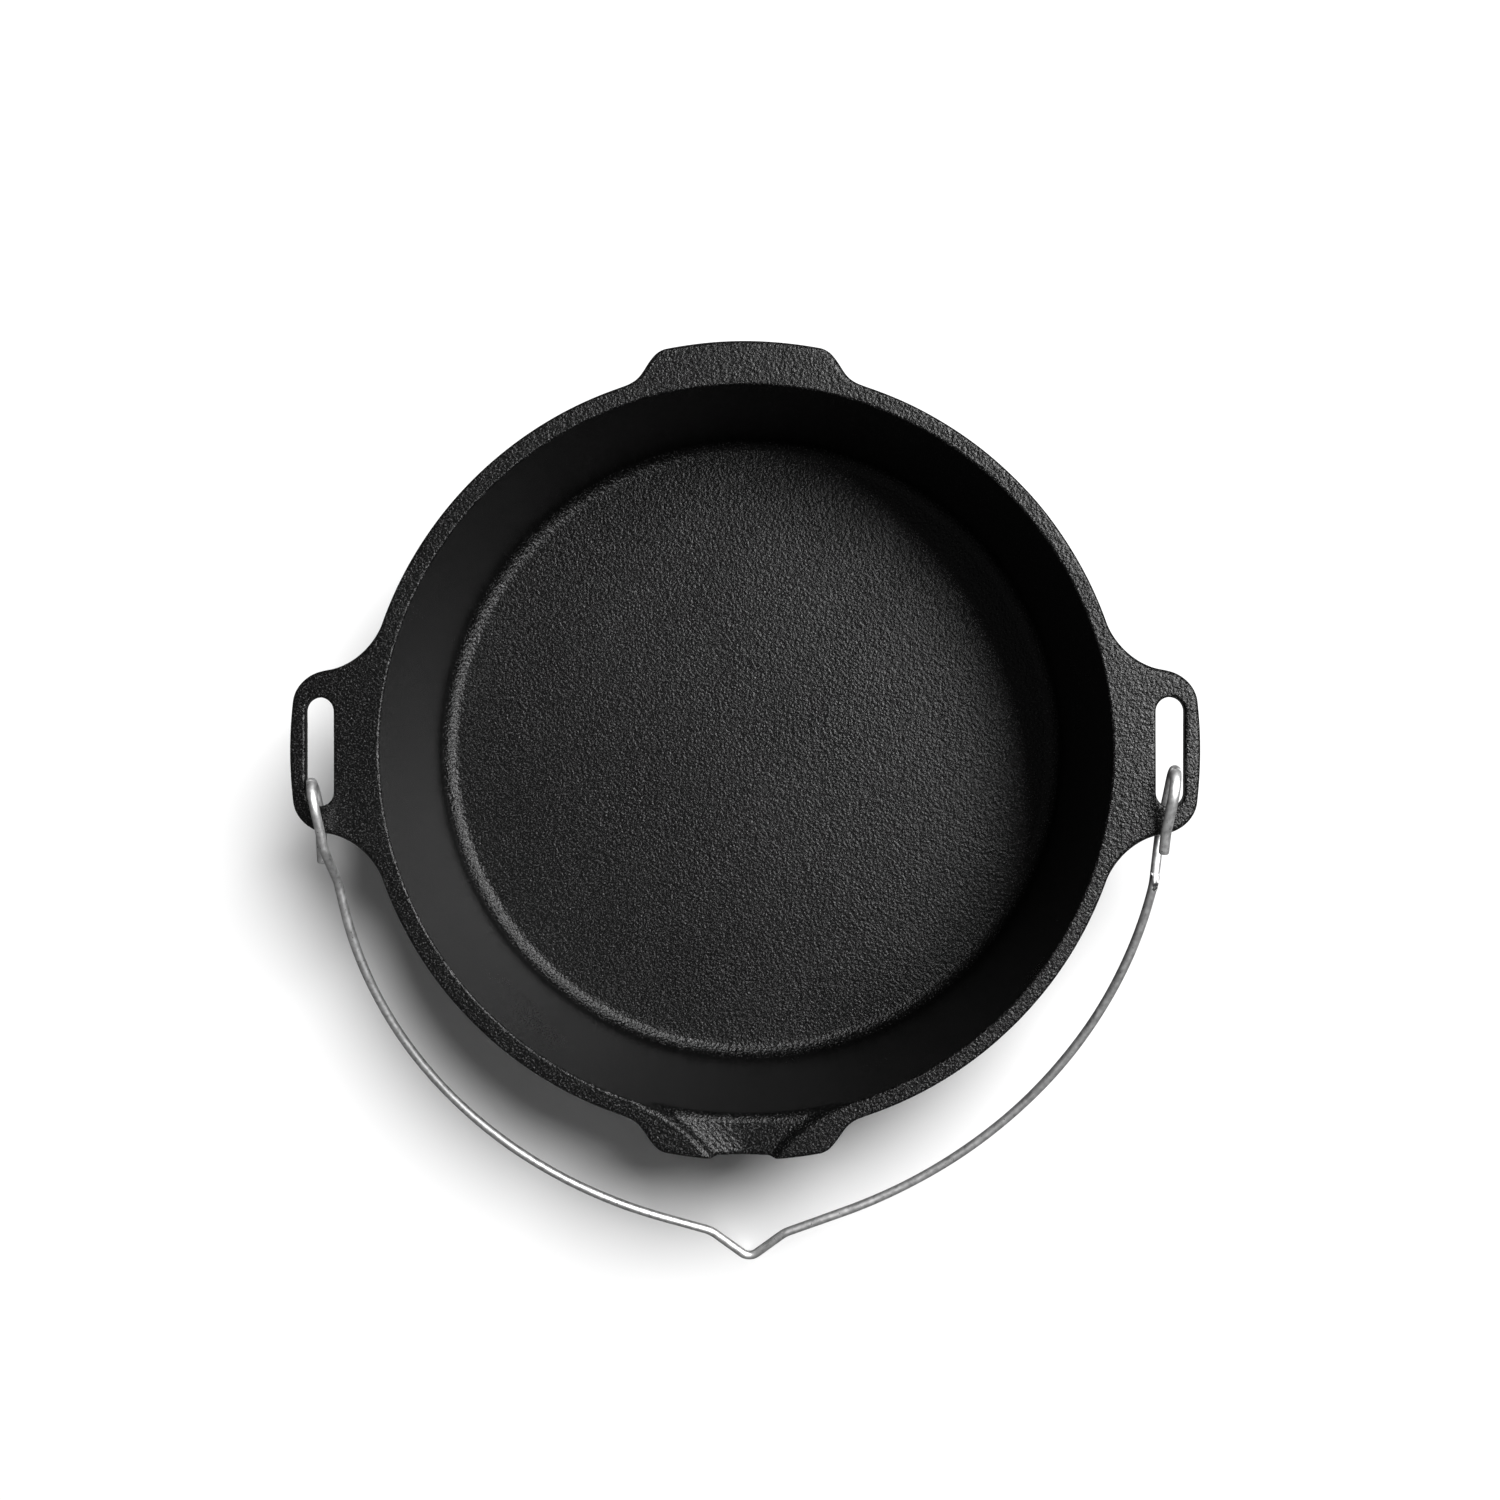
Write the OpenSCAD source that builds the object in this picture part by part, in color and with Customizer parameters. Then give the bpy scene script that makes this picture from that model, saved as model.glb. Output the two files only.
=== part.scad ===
/* [Bowl] */
// Height from the base to the top of the rim
pot_h = 106; // [90:1:125]
// Radius of the mouth at the top of the rim
mouth_r = 152.5; // [148:0.5:154]
// Slope of the wall, in degrees from upright
wall_slope = 7; // [4:0.5:14]
// Thickness of the side wall
wall_t = 5; // [4:0.5:6]
// Thickness of the floor
floor_t = 6; // [4:0.5:8]
// Fillet between the floor and the wall, inside
inner_fillet_r = 6; // [4:0.5:14]
// Rounding between the base and the wall, outside
outer_fillet_r = 11; // [6:0.5:16]

/* [Rim] */
// Outer radius of the thickened rim
rim_r = 160; // [159:0.5:164]
// Height of the rim's upright edge
rim_h = 8; // [6:0.5:12]
// Height of the slope that runs from the wall out to the rim
rim_under_h = 5; // [3:0.5:10]

/* [Ears] */
// Distance from the pot's axis to the outer edge of an ear
ear_reach = 189.7; // [188:0.1:195]
// Half the width of an ear
ear_half_w = 34; // [32:0.5:38]
// Thickness of an ear
ear_t = 6.4; // [6:0.2:7.6]
// Rounding of an ear's outer corners
ear_corner_r = 13; // [8:0.5:15]
// Fillet where an ear runs into the rim
ear_root_r = 20; // [12:0.5:24]
// Distance from the pot's axis to the middle of the slot
slot_at = 176.9; // [176:0.1:177.5]
// Width of the slot
slot_w = 11.8; // [11.5:0.1:13]
// Length of the slot, over its round ends
slot_l = 45.4; // [44:0.2:46]

/* [Lugs] */
// Distance from the pot's axis to the outer edge of the rear grip and of the spout
lug_reach = 171; // [168:0.5:174]
// Half the width of the rear grip and of the spout
lug_half_w = 40; // [36:0.5:44]
// Rounding of their outer corners
lug_corner_r = 8; // [6:0.5:10]
// Fillet where they run into the rim
lug_root_r = 9; // [7:0.5:12]
// Thickness of the rear grip
grip_t = 9; // [7:0.5:12]
// Thickness of the spout's block, which holds the channel
spout_t = 14; // [12:0.5:18]

/* [Pouring channel] */
// Depth of the channel below the rim
channel_depth = 4.5; // [3:0.5:6]
// Radius of the two ridges that narrow the channel towards its lip
ridge_r = 66; // [60:1:76]
// Angle from the spout's middle to where each ridge leaves the mouth
ridge_angle = 17.5; // [16:0.5:19]

/* [Bail] */
// Diameter of the bail's wire
wire_d = 4; // [3.8:0.1:4.2]
// Distance from the pivot to the tip of the bail's notch
bail_reach = 227.8; // [222:0.1:230]
// Bend radius at the tip of the notch
notch_r = 5; // [4:0.5:6]
// Slope of the notch's sides, in degrees from the bail's width
notch_slope = 42; // [36:1:44]
// Bend radius at each shoulder of the notch
shoulder_r = 15; // [10:1:18]
// Half the gap between a hook's two legs, centre to centre
hook_r = 9.4; // [9.3:0.1:9.6]
// Bend radius of the two bends that bring a leg back to the bail's plane
jog_r = 12; // [8:1:14]
// Angle of those two bends
jog_angle = 25; // [20:1:30]
// Distance past the pivot line at which a leg starts to bend
jog_start = 8; // [8:0.5:10]

/* [Bail, right half] */
// Straight side of the notch
right_notch_side = 15; // [12:0.5:16]
// Slope of the shoulder, in degrees from the bail's width
right_shoulder_slope = 24.2; // [23:0.2:26]
// Bend radius of the arch
right_arch_r = 224; // [216:1:226]
// Distance from the middle of the pot to the leg, on the pivot line
right_leg_at = 176.4; // [175.8:0.1:176.6]
// Lean of the leg, in degrees
right_leg_lean = 9; // [8:0.5:9.5]
// Distance from the pivot line back to the centre of the hook's bend
right_hook_back = 12.7; // [11:0.1:14]
// Distance from the pivot line forward to the wire's cut end
right_stub = 11; // [9:0.5:16]
// Twist of the hook out of the plane that holds the leg, in degrees
right_hook_twist = -4; // [-6:1:2]

/* [Bail, left half] */
// Straight side of the notch
left_notch_side = 15.8; // [12:0.2:17]
// Slope of the shoulder, in degrees from the bail's width
left_shoulder_slope = 18.8; // [17:0.2:20]
// Bend radius of the arch
left_arch_r = 197; // [188:1:206]
// Distance from the middle of the pot to the leg, on the pivot line
left_leg_at = 175.8; // [175.6:0.1:176]
// Lean of the leg, in degrees
left_leg_lean = 6.5; // [5:0.5:7]
// Distance from the pivot line back to the centre of the hook's bend
left_hook_back = 6.9; // [6:0.1:8]
// Distance from the pivot line forward to the wire's cut end
left_stub = 25.5; // [20:0.5:26]
// Twist of the hook out of the plane that holds the leg, in degrees
left_hook_twist = 11; // [6:1:12]

/* [Hidden] */

// Round surfaces
$fn = 96;
wire_fn = 24;
arc_steps = 12;

// How far one body reaches into another that it joins, and how far a cut runs past a face
bite = 0.5;
past = 1;

// Core that joins one stretch of wire to the next across a hairline seam
core_l = 0.5;
seam = 0.02;

// The pivot line runs through the front bar of both ears
pivot_y = -28;
pivot_z = pot_h - ear_t / 2;
wire_r = wire_d / 2;
core_r = wire_r - 0.2;
// The bail leans down until its tip rests on the surface under the pot
rest_angle = asin((pivot_z - wire_r) / bail_reach);

// Radius of a wall's sharp corner at height z, measured back from its radius at the rim
function wall_radius(top_r, z) = top_r - (pot_h - z) * tan(wall_slope);
inner_foot_r = wall_radius(mouth_r, floor_t);
outer_top_r = mouth_r + wall_t / cos(wall_slope);
outer_foot_r = wall_radius(outer_top_r, 0);
rim_foot_z = pot_h - rim_h - rim_under_h;
// A radius well inside the wall, which the rim and the lugs grow out from
rim_root_r = mouth_r - 10;

// How far a turn of radius r from slope a to slope b carries the wire across and along
function turn_across(r, a, b) = r * (sin(b) - sin(a));
function turn_along(r, a, b) = r * (cos(a) - cos(b));

// Section of a tapered bowl from height z0 to z1, with its foot corner rounded by f
module tapered_section(foot_r, z0, z1, f) {
    centre_x = foot_r + f * tan(wall_slope) - f / cos(wall_slope);
    polygon([
        [0, z0],
        [centre_x, z0],
        [centre_x, z0 + f],
        [centre_x + f * cos(wall_slope), z0 + f - f * sin(wall_slope)],
        [foot_r + (z1 - z0) * tan(wall_slope), z1],
        [0, z1]
    ]);
    intersection() {
        translate([centre_x, z0 + f])
            circle(r = f);
        translate([0, z0])
            square([foot_r + f, f]);
    }
}

// The solid that the bowl is hollowed from
module bowl_outside() {
    rotate_extrude()
        tapered_section(outer_foot_r, 0, pot_h, outer_fillet_r);
    rotate_extrude()
        polygon([
            [rim_root_r, rim_foot_z],
            [wall_radius(outer_top_r, rim_foot_z) - bite, rim_foot_z],
            [rim_r, pot_h - rim_h],
            [rim_r, pot_h],
            [rim_root_r, pot_h]
        ]);
}

// The room inside the bowl
module bowl_inside() {
    rotate_extrude()
        tapered_section(inner_foot_r, floor_t, pot_h + past, inner_fillet_r);
}

// Points along an arc about a centre, from angle a to angle b
function arc(centre, r, a, b, steps) =
    [for (i = [0:steps]) centre + r * [cos(a + (b - a) * i / steps), sin(a + (b - a) * i / steps)]];

// Outline of a lug on the +X side of the rim: two rounded corners, filleted into the rim
module lug_outline(reach, half_w, corner_r, root_r) {
    corner_at = reach - corner_r;
    root_at = rim_r + root_r;
    between = corner_r + root_r;
    a1 = asin((half_w - corner_r) / corner_at);
    gap = acos((pow(corner_at, 2) + pow(root_at, 2) - pow(between, 2)) / (2 * corner_at * root_at));
    a2 = a1 + gap;
    corner = corner_at * [cos(a1), sin(a1)];
    root = root_at * [cos(a2), sin(a2)];
    meet = atan2(root[1] - corner[1], root[0] - corner[0]);
    side = concat(
        arc([0, 0], reach, 0, a1, 6),
        arc(corner, corner_r, a1, meet, arc_steps),
        arc(root, root_r, meet + 180, a2 + 180, arc_steps),
        [(mouth_r - bite) * [cos(a2), sin(a2)], [rim_root_r, 0]]
    );
    polygon(side);
    mirror([0, 1])
        polygon(side);
}

// Outline of an ear's slot, with round ends
module slot_outline() {
    straight = slot_l - slot_w;
    translate([slot_at - slot_w / 2, -straight / 2])
        square([slot_w, straight]);
    for (side = [-1, 1])
        translate([slot_at, side * straight / 2])
            circle(d = slot_w);
}

// Outline of the pouring channel, between its two ridges, on the +X side
module channel_outline() {
    ridge_at = mouth_r + ridge_r;
    start_half_w = mouth_r * sin(ridge_angle);
    difference() {
        translate([rim_root_r, -start_half_w])
            square([lug_reach + past - rim_root_r, 2 * start_half_w]);
        for (side = [-1, 1])
            translate(ridge_at * [cos(ridge_angle), side * sin(ridge_angle)])
                circle(r = ridge_r);
    }
}

// One casting: bowl, rim, slotted ears, rear grip and spout
module pot() {
    color("#2b2b2c")
        difference() {
            union() {
                bowl_outside();
                for (turn = [0, 180])
                    rotate(turn)
                        translate([0, 0, pot_h - ear_t])
                            linear_extrude(ear_t)
                                lug_outline(ear_reach, ear_half_w, ear_corner_r, ear_root_r);
                rotate(90)
                    translate([0, 0, pot_h - grip_t])
                        linear_extrude(grip_t)
                            lug_outline(lug_reach, lug_half_w, lug_corner_r, lug_root_r);
                rotate(-90)
                    translate([0, 0, pot_h - spout_t])
                        linear_extrude(spout_t)
                            lug_outline(lug_reach, lug_half_w, lug_corner_r, lug_root_r);
            }
            bowl_inside();
            for (turn = [0, 180])
                rotate(turn)
                    translate([0, 0, pot_h - ear_t - past])
                        linear_extrude(ear_t + 2 * past)
                            slot_outline();
            rotate(-90)
                translate([0, 0, pot_h - channel_depth])
                    linear_extrude(channel_depth + past)
                        channel_outline();
        }
}

// A straight length of wire along +Z, with its children at its far end. Its core runs a little way
// into the bends at both ends, which makes one solid of them
module straight_wire(length) {
    translate([0, 0, seam])
        cylinder(r = wire_r, h = length - 2 * seam, $fn = wire_fn);
    translate([0, 0, -core_l])
        cylinder(r = core_r, h = length + 2 * core_l, $fn = wire_fn);
    translate([0, 0, length])
        children();
}

// The last length of wire, cut off square
module wire_end(length) {
    translate([0, 0, seam])
        cylinder(r = wire_r, h = length - seam, $fn = wire_fn);
    translate([0, 0, -core_l])
        cylinder(r = core_r, h = 2 * core_l, $fn = wire_fn);
}

// Places its children at the end of a bend of radius r, which turns by an angle towards +X
module after_bend(r, angle) {
    translate([r - r * cos(angle), 0, r * sin(angle)])
        rotate([0, angle, 0])
            children();
}

// A bend in the wire, with its children after it
module bent_wire(r, angle) {
    translate([r, 0, 0])
        rotate([90, 0, 180])
            rotate_extrude(angle = angle)
                translate([r, 0])
                    circle(r = wire_r, $fn = wire_fn);
    after_bend(r, angle)
        children();
}

// Half the bail, from the end of the notch's bend outwards, in its own plane with its tip at -Y
module bail_half(notch_side, shoulder_slope, arch_r, leg_at, leg_lean, hook_back, stub, twist) {
    leg_slope = 90 - leg_lean;
    // Across and along the bail, from the tip to the start of the leg, without the shoulder's length
    across = turn_across(notch_r, 0, notch_slope)
        + notch_side * cos(notch_slope)
        + turn_across(shoulder_r, shoulder_slope, notch_slope)
        + turn_across(arch_r, shoulder_slope, leg_slope);
    along = turn_along(notch_r, 0, notch_slope)
        + notch_side * sin(notch_slope)
        + turn_along(shoulder_r, shoulder_slope, notch_slope)
        + turn_along(arch_r, shoulder_slope, leg_slope);
    left_over = bail_reach - along;
    // The shoulder is as long as it takes to bring the leg to its place on the pivot line
    shoulder_l = (leg_at - across - left_over * tan(leg_lean))
        / (cos(shoulder_slope) - sin(shoulder_slope) * tan(leg_lean));
    leg_start = left_over - shoulder_l * sin(shoulder_slope);
    jog_slant_l = (hook_r - 2 * jog_r * (1 - cos(jog_angle))) / sin(jog_angle);
    jog_l = 2 * jog_r * sin(jog_angle) + jog_slant_l * cos(jog_angle);
    leg_l = leg_start / cos(leg_lean) - jog_l - jog_start;
    translate([0, -bail_reach, 0])
        rotate([90, 0, 90])
            after_bend(notch_r, notch_slope)
            straight_wire(notch_side)
            rotate(180)
            bent_wire(shoulder_r, notch_slope - shoulder_slope)
            straight_wire(shoulder_l)
            rotate(180)
            bent_wire(arch_r, leg_slope - shoulder_slope)
            straight_wire(leg_l)
            rotate(-90)
            bent_wire(jog_r, jog_angle)
            straight_wire(jog_slant_l)
            rotate(180)
            bent_wire(jog_r, jog_angle)
            straight_wire(jog_start + hook_back)
            rotate(twist)
            bent_wire(hook_r / cos(twist), 180)
            wire_end(hook_back + stub);
}

// One bent wire: a notched arch with a hook through each ear
module bail() {
    color("#a9aaab")
        translate([0, pivot_y, pivot_z])
            rotate([rest_angle, 0, 0]) {
                translate([0, notch_r - bail_reach, 0])
                    rotate(-90 - notch_slope)
                        rotate_extrude(angle = 2 * notch_slope)
                            translate([notch_r, 0])
                                circle(r = wire_r, $fn = wire_fn);
                bail_half(right_notch_side, right_shoulder_slope, right_arch_r, right_leg_at,
                    right_leg_lean, right_hook_back, right_stub, right_hook_twist);
                rotate([0, 180, 0])
                    bail_half(left_notch_side, left_shoulder_slope, left_arch_r, left_leg_at,
                        left_leg_lean, left_hook_back, left_stub, left_hook_twist);
            }
}

pot();
bail();
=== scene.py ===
"""Cast iron camp oven with a notched wire bail: its visual model, and the photograph's camera and light."""

import math

import bpy
import numpy as np
from mathutils import Matrix, Vector


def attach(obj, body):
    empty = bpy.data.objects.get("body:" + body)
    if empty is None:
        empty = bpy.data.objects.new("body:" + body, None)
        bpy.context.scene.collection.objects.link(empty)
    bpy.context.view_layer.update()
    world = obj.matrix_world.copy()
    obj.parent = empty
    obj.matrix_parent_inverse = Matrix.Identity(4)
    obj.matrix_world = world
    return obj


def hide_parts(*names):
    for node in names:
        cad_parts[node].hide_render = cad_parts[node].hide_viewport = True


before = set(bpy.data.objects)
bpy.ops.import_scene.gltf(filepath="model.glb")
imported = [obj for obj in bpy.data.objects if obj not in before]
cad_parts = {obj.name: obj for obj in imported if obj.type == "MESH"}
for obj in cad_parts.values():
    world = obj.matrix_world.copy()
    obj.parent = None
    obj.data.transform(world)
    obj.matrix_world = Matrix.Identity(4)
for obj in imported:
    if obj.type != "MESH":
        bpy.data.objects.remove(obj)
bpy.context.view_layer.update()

MM = 0.001


# ---------------------------------------------------------------- sizes, mm and degrees
# The CAD source has these too, nearly all of them with the same values
POT_H = 106
MOUTH_R = 152.5
WALL_SLOPE = 7
WALL_T = 5
FLOOR_T = 6
INNER_FILLET_R = 6
OUTER_FILLET_R = 11
RIM_R = 160
RIM_H = 8
RIM_UNDER_H = 5
EAR_REACH = 189.7
EAR_HALF_W = 34
EAR_T = 6.4
EAR_CORNER_R = 13
EAR_ROOT_R = 20
SLOT_AT = 176.9
SLOT_W = 11.8
SLOT_L = 45.4
LUG_REACH = 171
LUG_HALF_W = 40
LUG_CORNER_R = 8
LUG_ROOT_R = 9
GRIP_T = 9
SPOUT_T = 14
RIDGE_R = 66
RIDGE_ANGLE = 17.5
WIRE_D = 4
BAIL_REACH = 227.8
NOTCH_R = 5
NOTCH_SLOPE = 42
SHOULDER_R = 15
HOOK_R = 9.4
JOG_R = 12
JOG_ANGLE = 25
JOG_START = 8
RIGHT = dict(notch_side=15, shoulder_slope=24.2, arch_r=224, leg_at=176.2, leg_lean=7, hook_back=12.7,
             stub=11, twist=-5, stub_bend=5)
LEFT = dict(notch_side=15.8, shoulder_slope=18.8, arch_r=197, leg_at=175.8, leg_lean=6.5, hook_back=6.9,
            stub=25.5, twist=11, stub_bend=9)
# Y of the line that the bail turns about
PIVOT_Y = -28

# The CAD leaves out the rest, or has its own roundings there
# Radius of the cut ends' sideways bends, whose angles are in RIGHT and LEFT
STUB_BEND_R = 30
# How far the mouth lies off the casting's middle, which shows as a rim that is wider on the left
MOUTH_SHIFT = 0.7
# How much less the ears, the grip and the spout reach out, for each mm below the rim
EAR_DRAFT = 0.1
GRIP_DRAFT = 0.12
SPOUT_DRAFT = 0.36
# Where the grip's and the spout's underside starts and stops rising to the rim's, past their half width
LUG_RISE = (-4, 13)
# How much of the rim's side shows below their thin ends
LUG_CLEAR = 1
# Roundings of outer edges
RIM_EDGE_R = 1.5
EAR_EDGE_R = 1.2
LUG_EDGE_R = 2
TOP_EDGE_R = 2.2
SLOT_EDGE_R = 1.1
MOUTH_EDGE_R = 0.9
# Fillets of inner corners below the rim
RIM_FILLET_R = 3
EAR_FILLET_R = 2.5
LUG_FILLET_R = 3
# The pouring channel is whole up to the first distance from its middle, and gone at the second
CHANNEL_FADE = (38, 46)
# Its banks start this far outside it, on the ridges, and drop by this much over this width
BANK_START = 2
BANK_DROP = 3.3
BANK_W = 4.4
# Its bottom then sinks by this much over this width
BOTTOM_DROP = 1.9
BOTTOM_W = 18
# Keeps the distance from the channel's sloping surface about right
CHANNEL_STRETCH = 0.9
# The mouth's edge is rounded more where the channel leaves it, up to this drop
MOUTH_EDGE_MOST = 3
# Height of the casting's slow waves
WAVE = 0.05


# ---------------------------------------------------------------- the casting, as a distance in mm from its surface
def rounded_and(a, b, r):
    """Where both solids are, with the outer edge between them rounded by r."""
    return np.minimum(np.maximum(a, b), -r) + np.hypot(np.maximum(a + r, 0), np.maximum(b + r, 0))


def rounded_or(a, b, r):
    """Where either solid is, with the inner corner between them filled by r."""
    return -rounded_and(-a, -b, r)


def ease(x, a, b):
    """0 at a, 1 at b, and smooth between."""
    t = np.clip((x - a) / (b - a), 0, 1)
    return t * t * (3 - 2 * t)


def channel_drop(x, y):
    """How far the pouring channel's bottom lies below the rim."""
    turn = math.radians(RIDGE_ANGLE)
    at = MOUTH_R + RIDGE_R
    inside = np.hypot(np.abs(x) - at * math.sin(turn), -y - at * math.cos(turn)) - RIDGE_R
    inside = np.where(y < 0, inside + BANK_START, 0)
    whole, gone = CHANNEL_FADE
    bank = BANK_DROP * ease(inside, 0, BANK_W)
    bottom = BOTTOM_DROP * np.sin(np.clip(inside - BANK_START, 0, BOTTOM_W) / BOTTOM_W * math.pi / 2)
    return ease(np.abs(x), gone, whole) * (bank + bottom)


def unevenness(x, y, z):
    """A casting's slow waviness, in mm, with nothing at the base. The other numbers only keep it irregular."""
    wave = np.sin(x / 13 + 1.3) * np.sin(y / 15 + 0.4) + 0.7 * np.sin(x / 7.3 - y / 9.1 + 2.1) * np.sin(z / 11 + 0.7)
    return WAVE * wave * ease(z, 1, 4)


def pot_distance(x, y, z):
    """Distance from the pot's surface, negative within the iron."""
    rho = np.hypot(x, y)
    slope = math.radians(WALL_SLOPE)
    below = POT_H - z
    lean = below * math.tan(slope)

    # Wall and rim
    wall = (rho - (MOUTH_R + WALL_T / math.cos(slope) - lean)) * math.cos(slope)
    body = rounded_and(wall, -z, OUTER_FILLET_R)
    overhang = RIM_R - (MOUTH_R + WALL_T / math.cos(slope) - (RIM_H + RIM_UNDER_H) * math.tan(slope))
    under = (rho - RIM_R) * RIM_UNDER_H - (z - (POT_H - RIM_H)) * overhang
    under = under / math.hypot(RIM_UNDER_H, overhang)
    body = rounded_or(body, rounded_and(rho - RIM_R, under, RIM_EDGE_R), RIM_FILLET_R)

    # Ears
    reach = rho - EAR_REACH + EAR_DRAFT * np.maximum(below, 0)
    plan = rounded_or(rounded_and(reach, np.abs(y) - EAR_HALF_W, EAR_CORNER_R), rho - RIM_R, EAR_ROOT_R)
    ear = rounded_and(plan, POT_H - EAR_T - z, EAR_EDGE_R)
    body = rounded_or(body, ear, EAR_FILLET_R * ease(np.abs(y), EAR_HALF_W + EAR_CORNER_R, EAR_HALF_W))

    # Rear grip and spout, whose undersides run out into the rim's
    for side, thickness, draft in ((1, GRIP_T, GRIP_DRAFT), (-1, SPOUT_T, SPOUT_DRAFT)):
        reach = (rho - LUG_REACH + draft * np.maximum(below, 0)) / math.hypot(1, draft)
        plan = rounded_and(reach, np.abs(x) - LUG_HALF_W, LUG_CORNER_R)
        plan = rounded_or(plan, rho - RIM_R, LUG_ROOT_R)
        ends = ease(np.abs(x), LUG_HALF_W + LUG_RISE[0], LUG_HALF_W + LUG_RISE[1])
        foot = POT_H - thickness + (thickness - RIM_H + LUG_CLEAR) * ends
        lug = np.maximum(rounded_and(plan, foot - z, LUG_EDGE_R), -side * y)
        body = rounded_or(body, lug, LUG_FILLET_R * (1 - ends) * (side * y > 0))

    # Top, with the pouring channel, then the slots and the room inside
    drop = channel_drop(x, y)
    body = rounded_and(body, (z - POT_H + drop) * CHANNEL_STRETCH, TOP_EDGE_R)
    straight = (SLOT_L - SLOT_W) / 2
    slot = np.hypot(np.maximum(np.abs(y) - straight, 0), np.abs(x) - SLOT_AT) - SLOT_W / 2
    body = rounded_and(body, -slot, SLOT_EDGE_R)
    room = (np.hypot(x - MOUTH_SHIFT, y) - (MOUTH_R - lean)) * math.cos(slope)
    room = rounded_and(room, FLOOR_T - z, INNER_FILLET_R)
    body = rounded_and(body, -room, MOUTH_EDGE_R + MOUTH_EDGE_R * np.clip(drop, 0, MOUTH_EDGE_MOST))
    return body + unevenness(x, y, z)


def gradient(distance, p, step=0.05):
    """Which way the distance grows at each point, and how fast."""
    g = np.empty_like(p)
    for k in range(3):
        shift = np.zeros(3)
        shift[k] = step
        g[:, k] = (distance(*(p + shift).T) - distance(*(p - shift).T)) / (2 * step)
    return g


def settle(distance, p, rounds=5, most=0.8):
    """Moves points onto the surface, by no more than `most` mm a round."""
    for _ in range(rounds):
        g = gradient(distance, p)
        move = distance(*p.T)[:, None] * g / np.maximum((g * g).sum(1), 0.05)[:, None]
        size = np.linalg.norm(move, axis=1)[:, None]
        p = p - move * np.minimum(1, most / np.maximum(size, 1e-9))
    return p


# ---------------------------------------------------------------- its mesh
def spaced(*runs):
    """Values from (from, to, step) runs that follow one another."""
    values = [runs[0][0]]
    for a, b, step in runs:
        n = max(1, round((b - a) / step))
        values += [a + (b - a) * i / n for i in range(1, n + 1)]
    return np.array(values)


def surface_net(distance, turns, radii, heights):
    """Vertices and outward quads of the surface within a cylindrical grid. turns is a whole turn without its end."""
    theta, rho, z = np.meshgrid(turns, radii, heights, indexing="ij")
    d = distance(rho * np.cos(theta), rho * np.sin(theta), z)
    grid = np.stack([theta, rho, z])
    ahead = np.concatenate([grid, grid[:, :1]], 1)
    ahead[0, -1] += 2 * math.pi
    d = np.concatenate([d, d[:1]])
    inside = d < 0
    nt, nr, nz = len(turns), len(radii) - 1, len(heights) - 1
    corners = [(a, b, c) for a in (0, 1) for b in (0, 1) for c in (0, 1)]

    def at(values, corner):
        """The values at one corner of every cell."""
        a, b, c = corner
        return values[..., a:a + nt, b:b + nr, c:c + nz]

    # A vertex in every cell that the surface crosses, in the middle of where it cuts the cell's edges
    total = sum(at(inside, c).astype(int) for c in corners)
    active = (total > 0) & (total < 8)
    point = np.zeros((3, nt, nr, nz))
    count = np.zeros((nt, nr, nz))
    for c in corners:
        for axis in range(3):
            if c[axis]:
                continue
            e = tuple(1 if k == axis else c[k] for k in range(3))
            crosses = at(inside, c) != at(inside, e)
            d0, d1 = at(d, c), at(d, e)
            t = np.where(crosses, d0 / np.where(crosses, d0 - d1, 1), 0)
            point += crosses * (at(ahead, c) + t * (at(ahead, e) - at(ahead, c)))
            count += crosses
    index = np.full((nt, nr, nz), -1)
    index[active] = np.arange(active.sum())
    th, r, h = point[:, active] / count[active]
    verts = np.stack([r * np.cos(th), r * np.sin(th), h], 1)

    # A quad around every grid edge that the surface crosses
    quads = []
    node = inside[:nt]
    for axis in range(3):
        after = inside[1:] if axis == 0 else node[:, 1:] if axis == 1 else node[:, :, 1:]
        before = node if axis == 0 else node[:, :-1] if axis == 1 else node[:, :, :-1]
        i, j, k = np.nonzero(after != before)
        rising = before[i, j, k]
        others = [a for a in range(3) if a != axis]
        where = [i, j, k]
        ring = []
        for u, v in ((0, 0), (-1, 0), (-1, -1), (0, -1)):
            cell = list(where)
            cell[others[0]] = cell[others[0]] + u
            cell[others[1]] = cell[others[1]] + v
            ring.append(cell)
        ok = np.ones(len(i), bool)
        for cell in ring:
            ok &= (cell[1] >= 0) & (cell[1] < nr) & (cell[2] >= 0) & (cell[2] < nz)
        four = np.stack([index[c[0][ok] % nt, c[1][ok], c[2][ok]] for c in ring], 1)
        flip = rising[ok] if axis != 1 else ~rising[ok]
        four[flip] = four[flip][:, ::-1]
        quads.append(four)
    return verts, np.concatenate(quads), index


def zip_rings(outer, outer_turn, inner, inner_turn):
    """Triangles between two rings of vertices, each in the order of its angles."""
    faces, i, j = [], 0, 0
    n, m = len(outer), len(inner)
    while i < n or j < m:
        next_i = outer_turn[i + 1] if i + 1 < n else outer_turn[0] + 2 * math.pi
        next_j = inner_turn[j + 1] if j + 1 < m else inner_turn[0] + 2 * math.pi
        if j >= m or (i < n and next_i <= next_j):
            faces.append((outer[i % n], outer[(i + 1) % n], inner[j % m]))
            i += 1
        else:
            faces.append((outer[i % n], inner[(j + 1) % m], inner[j % m]))
            j += 1
    return faces


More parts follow.
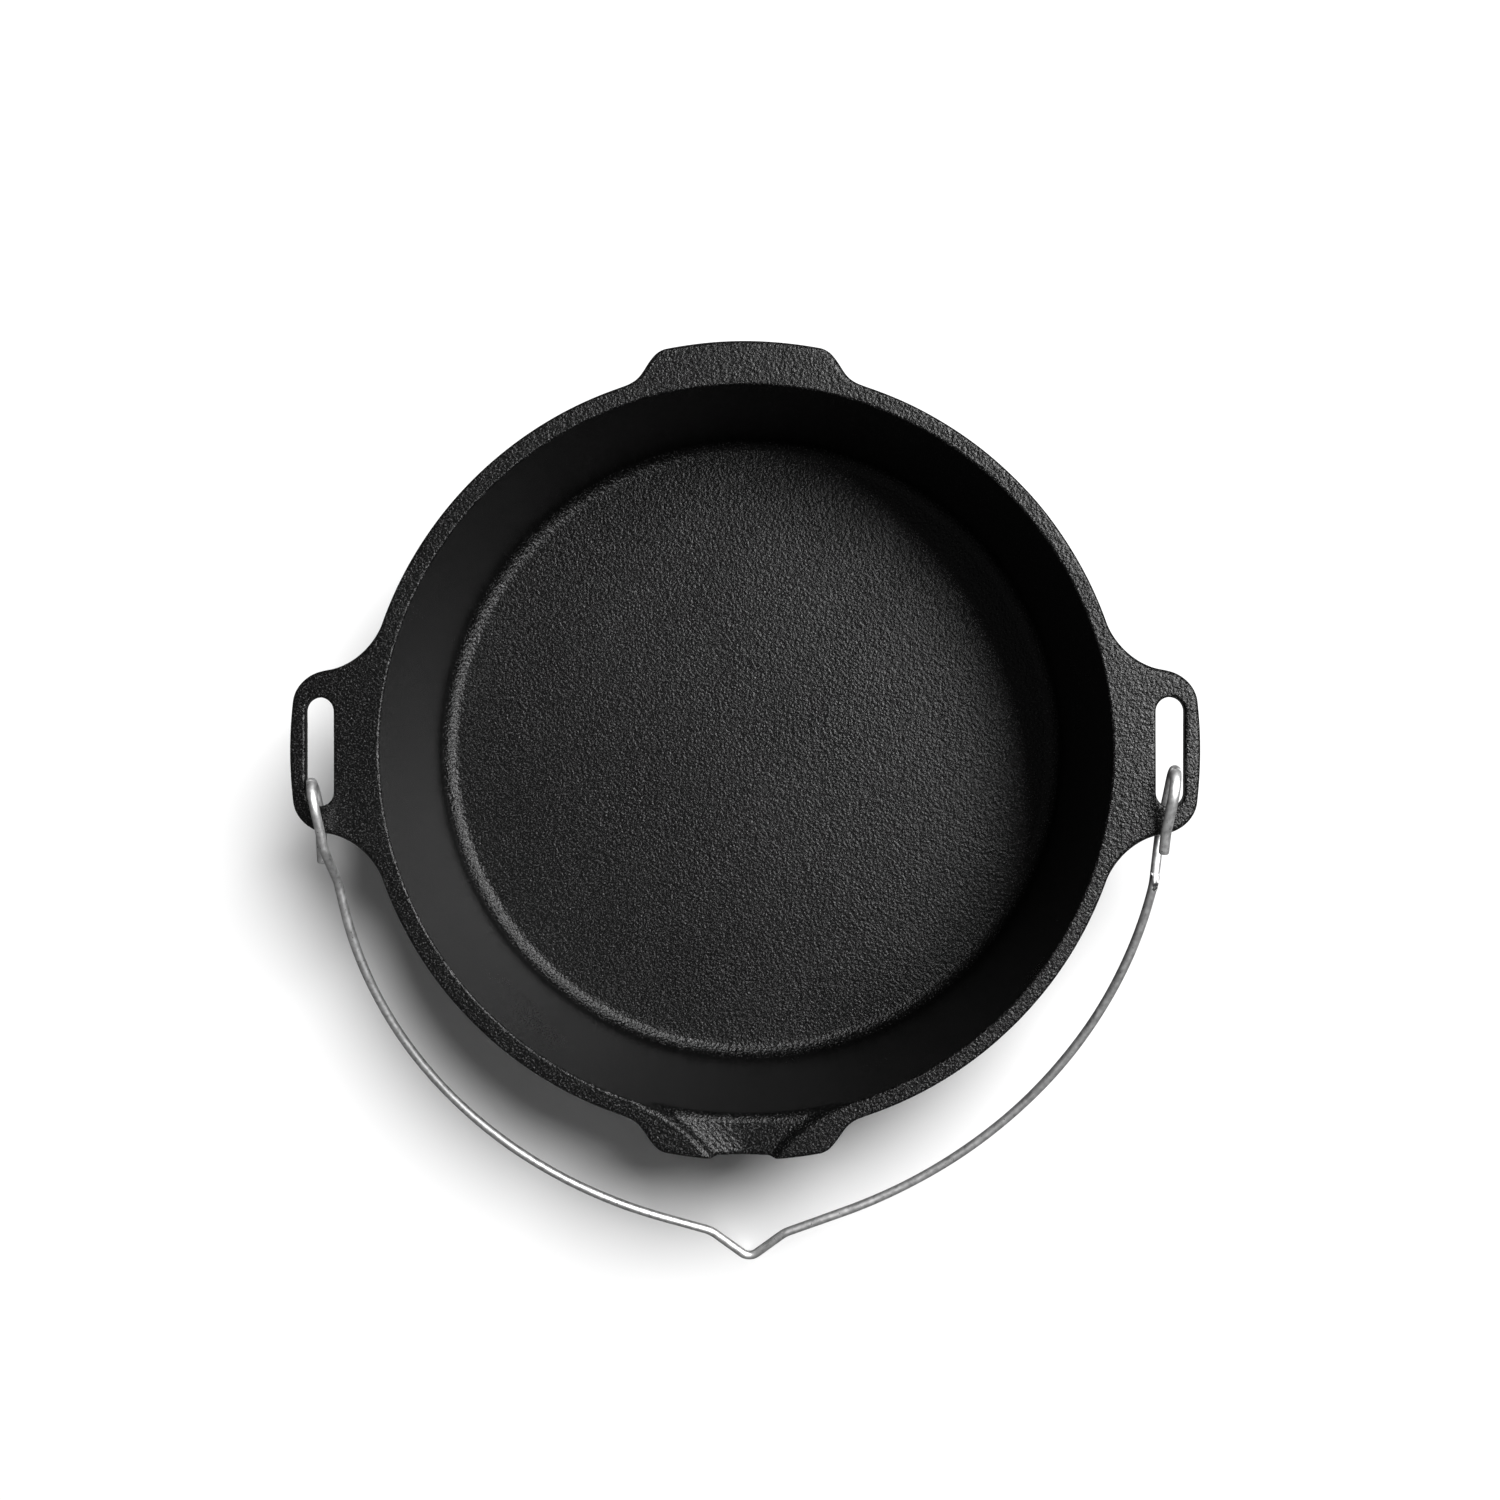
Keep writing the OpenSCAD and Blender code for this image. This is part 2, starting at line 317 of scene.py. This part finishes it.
def make_object(name, verts, faces, normals=None):
    """A smooth object from vertices in mm, with a normal at each vertex if they are given."""
    mesh = bpy.data.meshes.new(name)
    mesh.from_pydata((np.asarray(verts) * MM).tolist(), [], [list(map(int, f)) for f in faces])
    mesh.validate()
    for p in mesh.polygons:
        p.use_smooth = True
    if normals is not None and len(mesh.vertices) == len(normals):
        mesh.normals_split_custom_set_from_vertices(normals.tolist())
    obj = bpy.data.objects.new(name, mesh)
    bpy.context.scene.collection.objects.link(obj)
    return obj


def fill_disc(verts, faces, ring, ring_turn, height, upward):
    """Closes a ring of vertices with rings of fewer points, down to the pot's axis."""
    spokes, radii = 120, (104, 88, 72, 56, 40, 24, 10)
    turn = np.arange(spokes) * 2 * math.pi / spokes
    start = len(verts)
    for r in radii:
        verts += [(r * math.cos(t), r * math.sin(t), height) for t in turn]
    verts.append((0, 0, height))
    made = zip_rings(ring, ring_turn, list(range(start, start + spokes)), turn)
    for n in range(len(radii) - 1):
        a, b = start + n * spokes, start + (n + 1) * spokes
        for s in range(spokes):
            t = (s + 1) % spokes
            made.append((a + s, a + t, b + t, b + s))
    last = start + (len(radii) - 1) * spokes
    made += [(last + s, last + (s + 1) % spokes, len(verts) - 1) for s in range(spokes)]
    faces += [f if upward else f[::-1] for f in made]


def build_pot():
    # Steps in degrees, fine across the ears and the lugs. The radii and heights are in mm, fine at the rim's edges
    ear, lug, plain = 0.34, 0.46, 1.25
    turns = np.radians(spaced((-21, 21, ear), (21, 70, plain), (70, 110, lug), (110, 159, plain),
                              (159, 201, ear), (201, 250, plain), (250, 290, lug), (290, 339, plain))[:-1])
    radii = spaced((116, 128, 3), (128, 143, 1.8), (143, 150.4, 1.9), (150.4, 154.6, 0.7), (154.6, 158, 1.7),
                   (158, 161.2, 0.8), (161.2, 168.8, 1.3), (168.8, 191.3, 0.9))
    heights = spaced((-1.3, 13.1, 1.2), (13.1, 88, 4.4), (88, 97, 1.5), (97, 103.6, 1.1), (103.6, 107.2, 0.6))
    verts, quads, index = surface_net(pot_distance, turns, radii, heights)
    verts = list(map(tuple, verts))
    faces = quads.tolist()
    middle = turns + np.diff(np.append(turns, turns[0] + 2 * math.pi)) / 2
    for height, upward in ((0, False), (FLOOR_T, True)):
        level = int(np.searchsorted(heights, height) - 1)
        ring = index[:, 0, level].tolist()
        fill_disc(verts, faces, ring, middle, height, upward)
    points = settle(pot_distance, np.array(verts))
    g = gradient(pot_distance, points)
    normals = g / np.linalg.norm(g, axis=1)[:, None]
    obj = make_object("cast_pot", points, faces, normals)
    # How pebbled the surface is: walls are smoother than what faces up, and rounded edges are the grittiest. The same
    # value mixes in the iron's painted glints, so what faces up is painted lighter
    pebble_and_glint = obj.data.attributes.new("pebble_and_glint", "FLOAT", "POINT")
    upward = np.abs(normals[:, 2])
    rough = 0.35 + 0.65 * ease(upward, 0.25, 0.8) + 1.1 * ease(upward, 0.3, 0.8) * ease(upward, 0.999, 0.97)
    pebble_and_glint.data.foreach_set("value", rough.astype(np.float32))
    return obj


# ---------------------------------------------------------------- the bail's wire
class Turtle:
    """Follows the wire and keeps its centreline's points. It runs along its own +Z and bends towards its own +X."""

    def __init__(self, start, facing):
        self.at = Vector(start)
        self.facing = facing
        self.points = [self.at.copy()]

    def straight(self, length, step=4):
        n = max(1, round(length / step))
        along = self.facing @ Vector((0, 0, 1))
        for _ in range(n):
            self.at = self.at + along * (length / n)
            self.points.append(self.at.copy())

    def bend(self, r, angle, step=1.6):
        n = max(2, round(math.radians(angle) * r / step))
        first, facing = self.at.copy(), self.facing.copy()
        for i in range(1, n + 1):
            a = math.radians(angle) * i / n
            self.at = first + facing @ Vector((r - r * math.cos(a), 0, r * math.sin(a)))
            self.points.append(self.at.copy())
        self.facing = facing @ Matrix.Rotation(math.radians(angle), 3, "Y")

    def roll(self, angle):
        self.facing = self.facing @ Matrix.Rotation(math.radians(angle), 3, "Z")


def turn_across(r, a, b):
    """How far a bend of radius r gets across the bail, from slope a to slope b."""
    return r * (math.sin(math.radians(b)) - math.sin(math.radians(a)))


def turn_along(r, a, b):
    """How far the same bend gets along the bail."""
    return r * (math.cos(math.radians(a)) - math.cos(math.radians(b)))


def half_bail(notch_side, shoulder_slope, arch_r, leg_at, leg_lean, hook_back, stub, twist, stub_bend):
    """Centreline of half the bail in its own plane, from the notch's tip to the cut end."""
    rad = math.radians
    leg_slope = 90 - leg_lean
    across = (turn_across(NOTCH_R, 0, NOTCH_SLOPE) + notch_side * math.cos(rad(NOTCH_SLOPE))
              + turn_across(SHOULDER_R, shoulder_slope, NOTCH_SLOPE) + turn_across(arch_r, shoulder_slope, leg_slope))
    along = (turn_along(NOTCH_R, 0, NOTCH_SLOPE) + notch_side * math.sin(rad(NOTCH_SLOPE))
             + turn_along(SHOULDER_R, shoulder_slope, NOTCH_SLOPE) + turn_along(arch_r, shoulder_slope, leg_slope))
    left_over = BAIL_REACH - along
    shoulder_l = ((leg_at - across - left_over * math.tan(rad(leg_lean)))
                  / (math.cos(rad(shoulder_slope)) - math.sin(rad(shoulder_slope)) * math.tan(rad(leg_lean))))
    leg_start = left_over - shoulder_l * math.sin(rad(shoulder_slope))
    slant_l = (HOOK_R - 2 * JOG_R * (1 - math.cos(rad(JOG_ANGLE)))) / math.sin(rad(JOG_ANGLE))
    jog_l = 2 * JOG_R * math.sin(rad(JOG_ANGLE)) + slant_l * math.cos(rad(JOG_ANGLE))
    leg_l = leg_start / math.cos(rad(leg_lean)) - jog_l - JOG_START
    # Local +Z runs across the bail and local +X along it
    wire = Turtle((0, -BAIL_REACH, 0), Matrix(((0, 0, 1), (1, 0, 0), (0, 1, 0))))
    wire.bend(NOTCH_R, NOTCH_SLOPE, 0.7)
    wire.straight(notch_side, 2.5)
    wire.roll(180)
    wire.bend(SHOULDER_R, NOTCH_SLOPE - shoulder_slope, 1)
    wire.straight(shoulder_l)
    wire.roll(180)
    wire.bend(arch_r, leg_slope - shoulder_slope, 4)
    wire.straight(leg_l)
    wire.roll(-90)
    wire.bend(JOG_R, JOG_ANGLE)
    wire.straight(slant_l, 2)
    wire.roll(180)
    wire.bend(JOG_R, JOG_ANGLE)
    wire.straight(JOG_START + hook_back, 2)
    wire.roll(twist)
    wire.bend(HOOK_R / math.cos(rad(twist)), 180, 1.2)
    wire.straight(hook_back, 2)
    wire.roll(90)
    wire.bend(STUB_BEND_R, stub_bend, 0.7)
    wire.straight(stub - STUB_BEND_R * rad(stub_bend), 2)
    return np.array([list(p) for p in wire.points])


def build_bail():
    # The two halves meet at the notch, and the bail is laid down until its tip touches the ground
    right = half_bail(**RIGHT)
    left = half_bail(**LEFT) * (-1, 1, -1)
    line = np.concatenate([left[::-1], right[1:]])
    pivot = np.array([0, PIVOT_Y, POT_H - EAR_T / 2])
    rest = math.asin((pivot[2] - WIRE_D / 2) / BAIL_REACH)
    c, s = math.cos(rest), math.sin(rest)
    line = line @ np.array([[1, 0, 0], [0, c, -s], [0, s, c]]).T + pivot

    step = np.linalg.norm(np.diff(line, axis=0), axis=1)
    length = np.concatenate([[0], np.cumsum(step)])
    tangent = np.gradient(line, length, axis=0)
    tangent /= np.linalg.norm(tangent, axis=1)[:, None]
    # The wire was bent and hammered: it is a little wide and flat at the hooks, and its thickness varies slightly
    hook_l, fading_l = 34, 28
    wider, thinner = 0.14, 0.06
    from_end = np.minimum(length, length[-1] - length)
    flat = 1 - ease(from_end, hook_l, hook_l + fading_l)
    wave = 0.035 * np.sin(length / 9.7 + 0.6) + 0.03 * np.sin(length / 23 + 2)
    wide = WIRE_D / 2 * (1 + wider * flat) + wave
    thin = WIRE_D / 2 * (1 - thinner * flat) + 0.6 * wave

    # The wire's width lies in the bail's plane, and at the hooks it turns until it lies along X
    side = np.cross(np.array([0, -s, c]), tangent)
    side /= np.linalg.norm(side, axis=1)[:, None]
    across = np.array([1.0, 0, 0]) - tangent * tangent[:, :1]
    rings = []
    for n in range(len(line)):
        side_n = side[n]
        if flat[n] > 0:
            x_dir = across[n] / np.linalg.norm(across[n])
            mixed = side_n * (1 - flat[n]) + x_dir * flat[n] * np.sign(x_dir @ side_n or 1)
            mixed -= tangent[n] * (mixed @ tangent[n])
            side_n = mixed / np.linalg.norm(mixed)
        rings.append((side_n, np.cross(tangent[n], side_n)))

    ring_n = 24
    turn = np.arange(ring_n) * 2 * math.pi / ring_n
    verts, coords, faces, stations = [], [], [], []

    def add_ring(n, scale, shift):
        side_n, up_n = rings[n]
        centre = line[n] + tangent[n] * shift
        start = len(verts)
        for t in turn:
            w, h = wide[n] * scale * math.cos(t), thin[n] * scale * math.sin(t)
            verts.append(centre + side_n * w + up_n * h)
            coords.append((w, h, length[n]))
        stations.append(start)

    # The cut ends are a little rounded: each ring's scale and its distance from the end
    end_rings = ((0.8, 0), (0.94, 0.12), (1.0, 0.45))
    last = len(line) - 1
    for scale, inset in end_rings:
        add_ring(0, scale, inset)
    for n in range(1, last):
        add_ring(n, 1, 0)
    for scale, inset in end_rings[::-1]:
        add_ring(last, scale, -inset)
    for a, b in zip(stations, stations[1:]):
        for t in range(ring_n):
            u = (t + 1) % ring_n
            faces.append((a + t, a + u, b + u, b + t))
    for n, start, order in ((0, stations[0], -1), (last, stations[-1], 1)):
        verts.append(line[n])
        coords.append((0, 0, length[n]))
        centre = len(verts) - 1
        for t in range(ring_n):
            tri = (start + t, start + (t + 1) % ring_n, centre)
            faces.append(tri[::order])
    obj = make_object("wire_bail", np.array(verts), faces)
    # The wire's own coordinates: across, through and along it
    own = obj.data.attributes.new("wire", "FLOAT_VECTOR", "POINT")
    own.data.foreach_set("vector", (np.array(coords) * MM).astype(np.float32).ravel())
    return obj


# ---------------------------------------------------------------- materials
class Nodes:
    """Short calls for building a material's nodes."""

    def __init__(self, name):
        self.material = bpy.data.materials.new(name)
        self.material.use_nodes = True
        self.tree = self.material.node_tree
        self.tree.nodes.clear()

    def add(self, kind, values=None, **settings):
        node = self.tree.nodes.new(kind)
        for key, value in settings.items():
            setattr(node, key, value)
        for key, value in (values or {}).items():
            if isinstance(value, bpy.types.NodeSocket):
                self.tree.links.new(value, node.inputs[key])
            else:
                node.inputs[key].default_value = value
        return node

    def noise(self, vector, scale, detail=2.0, roughness=0.5):
        return self.add("ShaderNodeTexNoise", {"Vector": vector, "Scale": scale, "Detail": detail,
                                               "Roughness": roughness}).outputs["Fac"]

    def ranged(self, value, a, b, low, high, smooth=False):
        kind = "SMOOTHSTEP" if smooth else "LINEAR"
        return self.add("ShaderNodeMapRange", {"Value": value, "From Min": a, "From Max": b, "To Min": low,
                                               "To Max": high}, interpolation_type=kind).outputs["Result"]

    def math(self, operation, a, b=0.0):
        return self.add("ShaderNodeMath", {0: a, 1: b}, operation=operation).outputs[0]

    def ramp(self, value, *stops):
        node = self.add("ShaderNodeValToRGB", {"Fac": value})
        ramp = node.color_ramp
        while len(ramp.elements) < len(stops):
            ramp.elements.new(0.5)
        for element, (place, colour) in zip(ramp.elements, stops):
            element.position = place
            element.color = (*colour, 1)
        return node.outputs["Color"]

    def finish(self, shader):
        self.add("ShaderNodeOutputMaterial", {"Surface": shader.outputs[0]})
        return self.material


def grey(v):
    return (v, v, v)


# Texture scales are per metre, and bump distances are in metres
def iron():
    """Black, oiled and pebbled, with painted glints: light grey grains in the colour on what faces up, and a
    smoother, plainer black on the walls.
    """
    pebble_scale, grit_scale, glint_scale, patch_scale = 820.0, 1500.0, 1350.0, 14.0
    n = Nodes("seasoned iron")
    where = n.add("ShaderNodeTexCoord").outputs["Object"]
    pebble_and_glint = n.add("ShaderNodeAttribute", attribute_name="pebble_and_glint").outputs["Fac"]
    grains = n.add("ShaderNodeTexVoronoi", {"Vector": where, "Scale": pebble_scale, "Randomness": 1.0},
                   feature="SMOOTH_F1").outputs["Distance"]
    fine = n.noise(where, grit_scale, 2.0, 0.6)
    patches = n.noise(where, patch_scale, 3.0)
    height = n.math("ADD", n.math("MULTIPLY", grains, -1.0), n.math("MULTIPLY", fine, 0.9))
    height = n.math("MULTIPLY", height, pebble_and_glint)
    bump = n.add("ShaderNodeBump", {"Height": height, "Strength": 1.0, "Distance": 0.0002}).outputs["Normal"]
    # Painted glints: light grey specks in the colour, which stand in for the sparkle of the pebbles' tops
    painted_glints = n.ramp(n.noise(where, glint_scale, 1.5, 0.6), (0.4, grey(0.0008)), (0.52, grey(0.0035)),
                    (0.62, grey(0.017)), (0.74, grey(0.085)))
    plain = n.ramp(patches, (0.3, grey(0.0012)), (0.7, grey(0.0045)))
    # The painted glints cover what faces up and thin out on the walls, which keep more of the plain black
    colour = n.add("ShaderNodeMix", {0: pebble_and_glint, 6: plain, 7: painted_glints}, data_type="RGBA").outputs[2]
    rough = n.ranged(n.math("ADD", n.math("MULTIPLY", patches, 0.7), n.math("MULTIPLY", fine, 0.3)),
                     0.3, 0.7, 0.2, 0.28)
    return n.finish(n.add("ShaderNodeBsdfPrincipled", {"Base Color": colour, "Roughness": rough, "Normal": bump,
                                                       "Specular IOR Level": 0.42}))


def steel():
    """Bare drawn wire, with lines along it, dull patches and a few pits."""
    line_scale, spot_scale, pit_scale = 2600.0, 420.0, 900.0
    n = Nodes("steel wire")
    wire = n.add("ShaderNodeAttribute", attribute_name="wire").outputs["Vector"]
    drawn = n.add("ShaderNodeMapping", {"Vector": wire, "Scale": (1.0, 1.0, 0.03)}).outputs["Vector"]
    lines = n.noise(drawn, line_scale, 3.0, 0.6)
    spots = n.noise(wire, spot_scale, 3.0, 0.65)
    pits = n.ranged(n.noise(wire, pit_scale, 2.0, 0.5), 0.68, 0.76, 0.0, 1.0, True)
    colour = n.ramp(spots, (0.3, grey(0.62)), (0.5, grey(0.78)), (0.7, grey(0.86)))
    colour = n.add("ShaderNodeMix", {0: pits, 6: colour, 7: (*grey(0.15), 1)}, data_type="RGBA").outputs[2]
    rough = n.ranged(n.math("ADD", n.math("MULTIPLY", spots, 0.6), n.math("MULTIPLY", lines, 0.4)),
                     0.3, 0.7, 0.42, 0.56)
    height = n.math("SUBTRACT", n.math("MULTIPLY", lines, 0.3), pits)
    bump = n.add("ShaderNodeBump", {"Height": height, "Strength": 0.3, "Distance": 0.00006}).outputs["Normal"]
    return n.finish(n.add("ShaderNodeBsdfPrincipled", {"Base Color": colour, "Metallic": 1.0, "Roughness": rough,
                                                       "Normal": bump}))


# ---------------------------------------------------------------- build
pot = build_pot()
pot.data.materials.append(iron())
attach(pot, "pot")
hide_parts("pot")

bail = build_bail()
bail.data.materials.append(steel())
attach(bail, "bail")
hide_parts("bail")


# ---------------------------------------------------------------- floor, light and camera (m, degrees and W)
KEY_LIGHT = dict(azimuth=56, elevation=61, away=4.5, size=2.3, power=300)
SIDE_LIGHT = dict(azimuth=27, elevation=52, away=4.5, size=3.1, power=335)
AMBIENT = 0.09
FLOOR_GREY = 0.92
CAMERA_AT = (0.02855, 0.0106, 1.106)
CAMERA_TOWARDS = (0.00295, 0.0008, 0.106)
LENS_MM = 57.8


def build_floor():
    half = 6000
    corners = [(-half, -half, 0), (half, -half, 0), (half, half, 0), (-half, half, 0)]
    made = make_object("floor", corners, [(0, 1, 2, 3)])
    n = Nodes("pale floor")
    made.data.materials.append(n.finish(n.add("ShaderNodeBsdfDiffuse", {"Color": (*grey(FLOOR_GREY), 1)})))
    # Neither piece mirrors it
    made.visible_glossy = False
    return made


def look_from(obj, at, towards, up):
    """Places a camera or light, with `up` as near the top of its view as it goes."""
    ahead = (Vector(towards) - Vector(at)).normalized()
    right = ahead.cross(Vector(up)).normalized()
    top = right.cross(ahead)
    m = Matrix((right, top, -ahead)).transposed().to_4x4()
    m.translation = Vector(at)
    obj.matrix_world = m


def area_light(name, azimuth, elevation, away, size, power):
    """A round softbox that faces the middle of the pot."""
    data = bpy.data.lights.new(name, "AREA")
    data.shape = "DISK"
    data.size = size
    data.energy = power
    light = bpy.data.objects.new(name, data)
    bpy.context.scene.collection.objects.link(light)
    a, e = math.radians(azimuth), math.radians(elevation)
    at = Vector((math.cos(a) * math.cos(e), math.sin(a) * math.cos(e), math.sin(e))) * away
    middle = Vector((0, 0, 0.1))
    look_from(light, at + middle, middle, (0, 1, 0.01))
    return light


def group(name, *objects):
    """A collection that a light's linking takes."""
    made = bpy.data.collections.new(name)
    for obj in objects:
        made.objects.link(obj)
    return made


floor = build_floor()

# One softbox whitens the floor and throws the pot's shadow there, and another one lights the iron
key = area_light("key", **KEY_LIGHT)
key.light_linking.receiver_collection = group("floor_and_wire", floor, bail)
key.light_linking.blocker_collection = group("shade", pot)
side_light = area_light("side_light", **SIDE_LIGHT)
side_light.light_linking.receiver_collection = group("iron_and_wire", pot, bail)

world = bpy.data.worlds.new("studio")
world.use_nodes = True
background = world.node_tree.nodes["Background"]
background.inputs["Color"].default_value = (1, 1, 1, 1)
background.inputs["Strength"].default_value = AMBIENT
bpy.context.scene.world = world

camera_data = bpy.data.cameras.new("camera")
camera_data.sensor_width = 36
camera_data.lens = LENS_MM
camera = bpy.data.objects.new("camera", camera_data)
bpy.context.scene.collection.objects.link(camera)
look_from(camera, CAMERA_AT, CAMERA_TOWARDS, (0, 1, 0))
bpy.context.scene.camera = camera

bpy.context.scene.view_settings.view_transform = "Standard"
bpy.context.scene.view_settings.look = "None"
